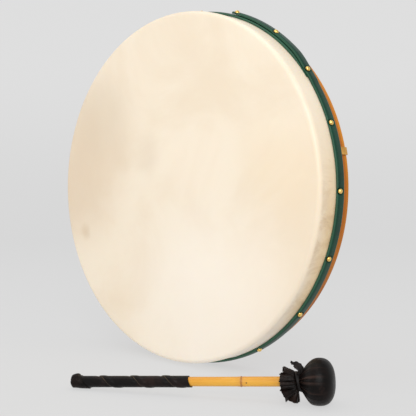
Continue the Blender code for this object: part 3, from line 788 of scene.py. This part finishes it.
def make_band(look, places):
    """One padded, cross-ribbed strip, from its covered start to its cut end."""
    half = BAND_WIDTH / 2
    section = []
    for i in range(BAND_STEPS + 1):
        u = cos(pi * i / BAND_STEPS)
        edge, power = FRONT_CROWN if u > 0 else REAR_CROWN
        section.append((half * u, edge + (1 - edge) * math.sqrt(max(1 - abs(u) ** power, 0))))
    flat = half - UNDERSIDE_EASE
    section += [(-half, UNDERSIDE), (-flat, 0), (0, 0), (flat, 0), (half, UNDERSIDE)]
    length = radians(BAND_END_DEG - BAND_START_DEG) * BAND_INNER
    count = round(length / RIB_PITCH) * RIB_STEPS
    rings = []
    for i in range(count + 1):
        angle_deg = BAND_START_DEG + (BAND_END_DEG - BAND_START_DEG) * i / count
        covered = angle_deg < BAND_END_DEG - 360 + 1
        rib = RIB_HEIGHT * sin(2 * pi * i / RIB_STEPS)
        rings.append(strip_ring(angle_deg, section, rib, [] if covered else places))
    band = loft("trim_strip", rings)
    finish_piece(smooth(band, 50), DRUM, "drum", look, "trim_band")


def make_tacks(look, places):
    """Domed heads with a thin flange, one shared mesh, each on its own CAD tack's axis."""
    ball = (TACK_RADIUS ** 2 + TACK_HEIGHT ** 2) / (2 * TACK_HEIGHT)
    half_angle = math.degrees(math.asin(TACK_RADIUS / ball))
    dome = arc((0, TACK_HEIGHT - ball), ball, 90, 90 - half_angle, 12)
    profile = [(0, TACK_HEIGHT), *dome[1:-1]]
    profile += [(TACK_RADIUS, TACK_RIM), (TACK_RADIUS, 0), (TACK_RADIUS - TACK_RIM, 0)]
    profile += [(TACK_RADIUS - TACK_FLAT, TACK_HOLLOW), (TACK_SHANK, TACK_HOLLOW)]
    profile += [(TACK_SHANK, POINT - TACK_LENGTH), (0, -TACK_LENGTH)]
    mesh = smooth(lathe("tack_head", profile, 40), 40).data
    for name, angle, top, height in places:
        turn = Matrix.Rotation(angle, 4, "Z") @ Matrix.Rotation(pi / 2, 4, "Y")
        place = Matrix.Translation(polar(top - TACK_HEIGHT, angle, height))
        spin = Matrix.Rotation(angle * 7, 4, "Z")
        tack = bpy.data.objects.new("brass_" + name, mesh)
        finish_piece(tack, DRUM @ place @ turn @ spin, "drum", look, name)


def shoulder_cutters(angle):
    """Blocks that narrow a bar's two ends to the width of their notches."""
    length = 2 * BAR_WIDTH
    cutters = []
    for end in (-1, 1):
        for side in (-1, 1):
            middle = Vector((end * (BAR_SHOULDER + length / 2), side * (TENON_WIDTH + BAR_WIDTH) / 2, 0))
            place = Matrix.Rotation(angle, 3, "Z") @ middle
            cutters.append(block("shoulder", (length, BAR_WIDTH, 2 * BAR_THICKNESS), place, (0, 0, angle)))
    return cutters


def make_bar(name, angle, other_angle, side, look):
    """A bar with worn, rounded edges, half cut away where the other bar crosses it."""
    size = (2 * (SHELL_OUTER + TENON_PROUD), BAR_WIDTH, BAR_THICKNESS)
    bar = block(name, size, (0, 0, 0), (0, 0, angle))
    bevel = bar.modifiers.new("Bevel", "BEVEL")
    bevel.width = BAR_EDGE
    bevel.segments = 4
    lap_size = (2 * BAR_WIDTH, BAR_WIDTH + 2 * GAP, BAR_THICKNESS)
    lap = block("lap", lap_size, (0, 0, side * (BAR_THICKNESS - GAP) / 2), (0, 0, other_angle))
    carve(bar, [*shoulder_cutters(angle), lap])
    turn = DRUM @ Matrix.Rotation(angle, 4, "Z")
    finish_piece(smooth(bar, 30), turn, "drum", look, name.replace("wood_", ""))


def make_pins(look):
    """Flat-headed panel pins, just below the bars' rear faces."""
    profile = [(0, PIN_LENGTH), (PIN_RADIUS, PIN_LENGTH - POINT), (PIN_RADIUS, PIN_HEAD_THICKNESS)]
    profile += [(PIN_HEAD - 0.1 * MM, PIN_HEAD_THICKNESS), (PIN_HEAD, PIN_HEAD_THICKNESS - 0.1 * MM)]
    profile += [(PIN_HEAD, 0.1 * MM), (PIN_HEAD - 0.15 * MM, 0), (0, 0.06 * MM)]
    mesh = smooth(lathe("pin", profile, 32), 40).data
    for i in range(1, PINS + 1):
        name = f"bar_pin_{i}"
        points, middle = drum_points(name)
        pin = bpy.data.objects.new("brass_" + name, mesh)
        place = Matrix.Translation((middle.x, middle.y, min(p.z for p in points)))
        finish_piece(pin, DRUM @ place, "drum", look, name)


# Beater pieces

def cane_radius(height):
    """The cane is a little thicker past its ring, which is a swelling, a ridge and a groove."""
    from_node = height - CANE_NODE
    radius = CANE_RADIUS - 0.15 * MM * (1 - smoothstep(-6 * MM, 6 * MM, from_node))
    for rise, place, width in CANE_RING:
        radius += rise * MM * bell(from_node - place * MM, width * MM)
    return radius


def make_cane(look):
    """A bamboo cane, finely stepped round its ring, whose section isn't quite round."""
    step = 4 * MM
    below = CANE_NODE - CANE_NODE_REACH
    above = CANE_NODE + CANE_NODE_REACH
    end_radius = CANE_RADIUS - CANE_CHAMFER
    heights = [CANE_START + CANE_CHAMFER, *np.arange(GRIP_END - step, below, step)]
    heights += [*np.arange(below, above, step / 16)]
    heights += [*np.arange(above, CANE_END - step / 2, step), CANE_END - CANE_CHAMFER]
    profile = [(0, CANE_START), (end_radius, CANE_START)]
    profile += [(cane_radius(z), z) for z in heights]
    profile += [(end_radius, CANE_END), (0, CANE_END)]

    def grown(radius, height, angle):
        near = bell(height - CANE_NODE, 5 * MM)
        ragged = wander(2.2, angle, 3.0)
        oval = 1 + 0.008 * cos(2 * angle + 0.6) + 0.006 * noise.noise(Vector((angle, height * 40, 0.4)))
        inside = min(radius, end_radius) / end_radius
        return radius * oval, height + 0.5 * MM * ragged * near * inside

    cane = lathe("cane", profile, 64, grown)
    finish_piece(smooth(cane, 40), BEATER, "beater", look, "cane_shaft")


def make_grip(look):
    """One strip wound down the cane, each turn's edge lying over the turn before it."""
    width = GRIP_PITCH + GRIP_OVERLAP - 0.3 * MM
    turns = (GRIP_END - GRIP_START + 2.3 * width) / GRIP_PITCH
    start_turn = (GRIP_START - 1.3 * width - GRIP_FIRST_EDGE) / GRIP_PITCH
    across = [0, 0.02, 0.06, 0.12, *np.linspace(0.16, 0.98, 26), 1]
    rings = []
    for i in range(round(turns * GRIP_TURN_STEPS)):
        turn = start_turn + i / GRIP_TURN_STEPS
        angle = 2 * pi * turn
        edge = GRIP_FIRST_EDGE + GRIP_PITCH * turn
        ring = []
        for side in (1, 0):
            for u in across if side else across[::-1]:
                height = edge + u * width
                lift = 1 - smoothstep(GRIP_OVERLAP, GRIP_OVERLAP + 4 * MM, u * width)
                thin = smoothstep(width - 2 * GRIP_OVERLAP, width - GRIP_OVERLAP - 0.5 * MM, u * width)
                thickness = GRIP_THICKNESS + (GRIP_PARED - GRIP_THICKNESS) * thin
                radius = CANE_RADIUS + GAP + lift * GRIP_LIFT
                slack = wander(12, angle, height * 140) * (0.05 + 0.1 * lift) * (1 - thin)
                radius += slack * MM * side + thickness * side * (1 - 0.3 * math.exp(-u * width / MM))
                ring.append(polar(radius, angle, height))
        rings.append(ring)
    grip = loft("grip_leather", rings)
    reach = 0.1
    start_slant = math.atan(GRIP_START_SHEAR)
    far = Matrix.Rotation(-GRIP_SLANT, 3, "Y") @ Vector((0, 0, reach / 2))
    near = Matrix.Rotation(-start_slant, 3, "Y") @ Vector((0, 0, -reach / 2))
    size = (3 * reach, 3 * reach, reach)
    carve(grip, [
        block("past_end", size, Vector((0, 0, GRIP_END)) + far, (0, -GRIP_SLANT, 0)),
        block("past_start", size, Vector((0, 0, GRIP_START)) + near, (0, -start_slant, 0)),
    ])
    finish_piece(smooth(grip, 45), BEATER, "beater", look, "grip_strip")


def make_pommel(look):
    """The leather cap, folded over the cane's end and gathered into a lump."""
    bore = CANE_RADIUS + GAP
    top = GRIP_START - GAP
    neck = bore + GRIP_THICKNESS + 0.7 * MM
    corner = (POMMEL_RADIUS - POMMEL_ROUNDING, POMMEL_END + POMMEL_ROUNDING)
    bottom = CANE_START - GAP
    profile = [(bore, top), (neck - 0.4 * MM, top), (neck, top - 0.3 * MM)]
    shoulder = (POMMEL_RADIUS, POMMEL_MIDDLE)
    for i in range(1, 19):
        share = i / 18
        height = profile[2][1] + (shoulder[1] - profile[2][1]) * share
        profile.append((neck + (shoulder[0] - neck) * smoothstep(0, 0.8, share), height))
    profile += [(POMMEL_RADIUS, z) for _, z in between(shoulder, (0, corner[1]), 5)]
    profile += arc(corner, POMMEL_ROUNDING, 0, -90, 10)[1:]
    profile += between((corner[0], POMMEL_END), (POMMEL_AXIS, POMMEL_END), 8)
    profile.append((POMMEL_AXIS, bottom))
    profile += between((POMMEL_AXIS, bottom), (bore, bottom), 2)

    def lumpy(radius, height, angle):
        down = cos(angle)
        mouth = smoothstep(POMMEL_MIDDLE, top, height) * smoothstep(POMMEL_END, POMMEL_MIDDLE, height)
        slanted = height + GRIP_START_SHEAR * radius * down * mouth
        if radius < bore + 0.01 * MM:
            return radius, slanted
        low = smoothstep(top, POMMEL_MIDDLE, height)
        outer = smoothstep(bore, neck, radius)
        tuck = 0.9 * MM * low * max(down, 0) ** 2
        crown = 1.3 * MM * max(-down, 0) * bell(height - POMMEL_MIDDLE, 5 * MM)
        lean = 0.5 * MM * (1 + down) * (1 - smoothstep(POMMEL_END, POMMEL_MIDDLE, height))
        crease = 0
        for start, slope, depth in POMMEL_CREASES:
            off = (angle - start) * 8 * MM + (height - POMMEL_MIDDLE) * slope
            crease += depth * MM * bell(off, 0.7 * MM) * low
        fold = 0.4 * MM * low * wander(1.6, angle, height * 170)
        lump = 1.1 * MM * (1 - low) * bell(math.remainder(angle - 0.3, 2 * pi), 0.8)
        share = min(radius / (5 * MM), 1)
        moved = radius - (tuck + crease + 0.3 * MM * low - crown) * share + min(fold, 0.2 * MM) * share
        return moved + lump * outer, slanted + lean * outer

    pommel = lathe("pommel_leather", profile, 96, lumpy)
    finish_piece(smooth(pommel, 50), BEATER, "beater", look, "pommel_cap")


def ball_outline():
    """The padded head's outline from its tip to its neck, as in the CAD model but finer."""
    points = []
    length = HEAD_TIP - HEAD_WIDEST
    for i in range(1, HEAD_STEPS[0] + 1):
        angle = pi / 2 * i / HEAD_STEPS[0]
        across = sin(angle) ** (2 / HEAD_SQUARENESS)
        along = max(cos(angle), 0) ** (2 / HEAD_SQUARENESS)
        points.append((HEAD_RADIUS * across, HEAD_WIDEST + length * along))
    for i in range(1, HEAD_STEPS[1] + 1):
        share = i / HEAD_STEPS[1]
        radius = NECK_RADIUS + (HEAD_RADIUS - NECK_RADIUS) * (1 - share ** HEAD_BACK_POWER)
        points.append((radius, HEAD_WIDEST + (NECK_TOP - HEAD_WIDEST) * share))
    return points


def fold_at(degrees):
    """How far the ruff leans out at an angle round the cane, its length, and its sway."""
    crests = [*RUFF_FOLDS, (360 + RUFF_FOLDS[0][0], *RUFF_FOLDS[0][1:])]
    for before, after in zip(crests, crests[1:]):
        if degrees <= after[0]:
            break
    share = (degrees - before[0]) / (after[0] - before[0])
    weight = abs(cos(pi * share)) ** 0.8
    crest = before if share < 0.5 else after
    middle = (before[1] + after[1]) / 2
    valley = 0.45 * middle - VALLEY_LEAN
    lean = valley + (crest[1] - valley) * weight
    length = before[2] + (after[2] - before[2]) * smoothstep(0, 1, share)
    sway = sin(2 * pi * share)
    return radians(lean), length * MM, sway


def gathers(angle):
    """The small pleats that the lace pulls into the leather, between -1.25 and 0.75."""
    first = abs(sin(12 * angle + 1.4 * sin(3 * angle) + 0.5))
    second = abs(sin(23 * angle + 1.1 * sin(2 * angle + 1.0)))
    return 1.1 * first + 0.9 * second - 1.25


def head_cover_rings():
    """One round of leather: tight over the head, gathered at the neck, loose as a ruff."""
    def drawn(radius, height, angle):
        near_neck = 1 - smoothstep(NECK_RADIUS, HEAD_RADIUS, radius) if height < HEAD_WIDEST else 0
        pull = gathers(angle) * BALL_PLEAT * near_neck ** 0.6
        sag = HEAD_SAG * max(cos(angle), 0) * bell(height + 9 * MM, 5 * MM)
        dent = HEAD_DENT * (wander(26 * radius, angle, height * 30) - 0.35)
        return radius + pull + sag + dent * min(radius / (8 * MM), 1), height

    def bound(share, top, angle):
        return neck_radius(angle), top + (neck_end(angle) - top) * share

    rings = turned([(0.0, HEAD_TIP), *ball_outline()], AROUND, drawn)
    rings += turned([(share, NECK_TOP) for share in NECK_SHARES], AROUND, bound)
    return rings + ruff_rings()


def neck_radius(angle):
    return NECK_LEATHER + gathers(angle) * NECK_PLEAT


def neck_end(angle):
    """The height where the ruff starts, below the lace, which is tilted."""
    return (NECK_TOP + NECK_BOTTOM) / 2 - 1.2 * MM + RUFF_TILT * cos(angle)


def ruff_rings():
    """The leather below the lace, stepped outwards along each fold to a torn edge."""
    columns = []
    for angle in turns(AROUND):
        lean, length, sway = fold_at(math.degrees(angle))
        length += TORN_COARSE * wander(9, angle, 7.7) + TORN_FINE * wander(31, angle, 2)
        r = neck_radius(angle)
        z = neck_end(angle)
        column = []
        step = length / RUFF_STEPS
        for i in range(1, RUFF_STEPS + 1):
            s = i * step
            share = i / RUFF_STEPS
            puff = bell(s, RUFF_PUFF)
            now = lean * (1 - 0.12 * share) + (radians(80) - lean) * puff
            r += step * sin(now)
            z -= step * cos(now)
            turned = angle + RUFF_SWAY * sway * share ** 1.2
            rough = noise.noise(Vector((900 * s, 5 * cos(angle), 5 * sin(angle))))
            crumple = rough * 0.5 * MM * share
            out = max(r + crumple, CANE_RADIUS + 1.1 * MM)
            column.append(polar(out, turned, z + crumple * 0.5))
        columns.append(column)
    return [[column[i] for column in columns] for i in range(RUFF_STEPS)]


def make_head_cover(look):
    """The cover's outer face, given the leather's thickness inwards."""
    cover = loft("head_leather", head_cover_rings()[::-1], caps=False, outwards=False)
    solid = cover.modifiers.new("Leather", "SOLIDIFY")
    solid.thickness = LEATHER
    solid.offset = -1
    applied(cover)
    finish_piece(smooth(cover, 60), BEATER, "beater", look, "head_cover")


def sweep(stations, width, thickness):
    """A rounded strip along stations of place, flat side's normal and width share."""
    rings = []
    for i, (place, normal, share) in enumerate(stations):
        before = stations[max(i - 1, 0)][0]
        after = stations[min(i + 1, len(stations) - 1)][0]
        along = (after - before).normalized()
        across = along.cross(normal).normalized()
        out = across.cross(along)
        ring = []
        for angle in turns(12):
            u = math.copysign(abs(cos(angle)) ** 0.45, cos(angle)) * width / 2 * share
            v = math.copysign(abs(sin(angle)) ** 0.45, sin(angle)) * thickness / 2
            ring.append(place + across * u + out * v)
        rings.append(ring)
    return rings


def joined(name, meshes):
    """One object from several closed lofts."""
    cage = bmesh.new()
    for obj in meshes:
        cage.from_mesh(obj.data)
        bpy.data.objects.remove(obj)
    return as_object(name, cage)


def lace_loop():
    """Two turns round the neck that cross each other on one side."""
    loop = []
    for i in range(LACE_STEPS):
        angle = 4 * pi * i / LACE_STEPS
        half = (angle - LACE_CROSSING) / 2
        radius = LACE_RADIUS + LACE_OVERLAP * cos(half)
        height = LACE_MIDDLE + RUFF_TILT * cos(angle) + LACE_SPREAD * sin(half)
        loop.append((Vector(polar(radius, angle, height)), Vector(polar(1, angle)), 1.0))
    rings = sweep([loop[-1], *loop, loop[0]], LACE_WIDTH, LACE_THICKNESS)[1:-1]
    return loft("lace_loop", rings, along=True, caps=False)


def lace_tail(start, bend, end, width):
    """A torn end of the lace, as a curve that starts towards bend and arrives at end."""
    start, bend, end = (Vector(p) * MM for p in (start, bend, end))
    stations = []
    for i in range(TAIL_STEPS + 1):
        share = i / TAIL_STEPS
        place = start * (1 - share) ** 2 + bend * 2 * share * (1 - share) + end * share ** 2
        twist = Vector((-0.3, -1, 0.6 * sin(3 * share))).normalized()
        ragged = 0.35 + 0.65 * smoothstep(0, 0.3, share)
        ragged *= 1 - 0.5 * smoothstep(0.86, 1.0, share) + 0.12 * sin(31 * share)
        stations.append((place, twist, ragged))
    return loft("lace_tail", sweep(stations, width * MM, 1.0 * MM))


def lace_knot():
    """The small bow where the tails leave the loop."""
    middle = Vector((-10.4, -4.6, -20.6))
    stations = []
    for i in range(KNOT_STEPS + 1):
        angle = 2 * pi * i / KNOT_STEPS * 0.98
        place = middle + Vector((1.1 * cos(angle), 1.3 * sin(angle), 0.9 * sin(2 * angle)))
        stations.append((place * MM, Vector((0.2, cos(angle), 1)).normalized(), 1.0))
    return loft("lace_knot", sweep(stations, 2.0 * MM, 1.1 * MM))


def make_lace(look):
    """A strip that goes twice round the neck and ends in a knot and a frayed tail."""
    lace = joined("lace", [lace_loop(), *(lace_tail(*tail) for tail in LACE_TAILS), lace_knot()])
    finish_piece(smooth(lace, 45), BEATER, "beater", look, "tie_lace")


# The studio

def make_stage():
    """A floor that curves up into a wall all round, so that every view has the same backdrop."""
    centre = (FLOOR_RADIUS, FLOOR_Z + FLOOR_CURVE)
    profile = [(0, FLOOR_Z), *between((0, FLOOR_Z), (FLOOR_RADIUS, FLOOR_Z), 12)[:-1]]
    profile += arc(centre, FLOOR_CURVE, -90, 0, 24)
    profile.append((FLOOR_RADIUS + FLOOR_CURVE, FLOOR_Z + WALL_HEIGHT))
    stage = lathe("backdrop", profile, 96)
    stage.location.z = -0.05 * MM
    linked(stage).data.shade_smooth()
    paper = Look("backdrop_paper", BACKDROP, 0.95, Emission_Strength=1.0, Specular_IOR_Level=0.0)
    up = paper.step(paper.split(paper.place())[2], FLOOR_Z, FLOOR_Z + FLOOR_CURVE)
    paper.link("Emission Color", paper.mix(up, FLOOR_GLOW, WALL_GLOW))
    stage.data.materials.append(paper.material)


def make_light(name, place, wide, tall, energy):
    """A soft rectangular light that faces the object, unseen by the camera."""
    lamp = bpy.data.lights.new(name, "AREA")
    lamp.shape = "RECTANGLE"
    lamp.size = wide
    lamp.size_y = tall
    lamp.energy = energy
    obj = bpy.data.objects.new(name, lamp)
    obj.location = place
    obj.rotation_mode = "QUATERNION"
    obj.rotation_quaternion = (-Vector(place)).to_track_quat("-Z", "Y")
    obj.visible_camera = False
    linked(obj)


def make_studio():
    world = bpy.data.worlds.new("studio")
    bpy.context.scene.world = world
    world.use_nodes = True
    background = world.node_tree.nodes["Background"]
    background.inputs["Color"].default_value = (1, 1, 1, 1)
    background.inputs["Strength"].default_value = WORLD_STRENGTH
    make_stage()
    for light in LIGHTS:
        make_light(*light)
    bpy.context.scene.view_settings.view_transform = "Standard"


def make_camera():
    lens = bpy.data.cameras.new("camera")
    lens.lens = CAMERA_LENS
    lens.sensor_width = 36
    lens.clip_start = 0.01
    camera = bpy.data.objects.new("camera", lens)
    camera.location = CAMERA_AT
    look = Vector(CAMERA_LOOKS).to_track_quat("-Z", "Y").to_matrix().to_4x4()
    camera.rotation_euler = (look @ Matrix.Rotation(CAMERA_ROLL, 4, "Z")).to_euler()
    bpy.context.scene.camera = linked(camera)


def make_drum():
    make_skin(skin_look())
    shell_wood = (238, 160, 24), (216, 132, 8), (150, 68, 2)
    make_shell(wood_look("shell_wood", *shell_wood, True, 0.02))
    bar_wood = (214, 164, 82), (198, 144, 60), (150, 98, 36)
    bars = wood_look("bar_wood", *bar_wood, False, 0.15)
    make_bar("wood_crossbar_level", LEVEL_BAR_ANGLE, UPRIGHT_BAR_ANGLE, -1, bars)
    make_bar("wood_crossbar_upright", UPRIGHT_BAR_ANGLE, LEVEL_BAR_ANGLE, 1, bars)
    places = tack_places()
    make_band(band_look(), places)
    brass = brass_look()
    make_tacks(brass, places)
    make_pins(brass)


def make_beater():
    black = (10, 7, 6)
    worn = (42, 28, 24)
    make_cane(bamboo_look())
    make_grip(leather_look("black_leather_grip", black, worn, (1, 1, 0.4), 0.36, 0.16, wound=True))
    leather = leather_look("black_leather", black, worn, (1, 1, 1), 0.38, 0.12, gathered=9.0)
    make_pommel(leather)
    make_head_cover(leather)
    make_lace(leather_look("lace_leather", (17, 13, 12), (48, 38, 33), (1, 1, 1), 0.45, 0.18))
    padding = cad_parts["padding_core"].data.materials
    padding.clear()
    padding.append(wool_look())


make_studio()
make_camera()
make_drum()
make_beater()
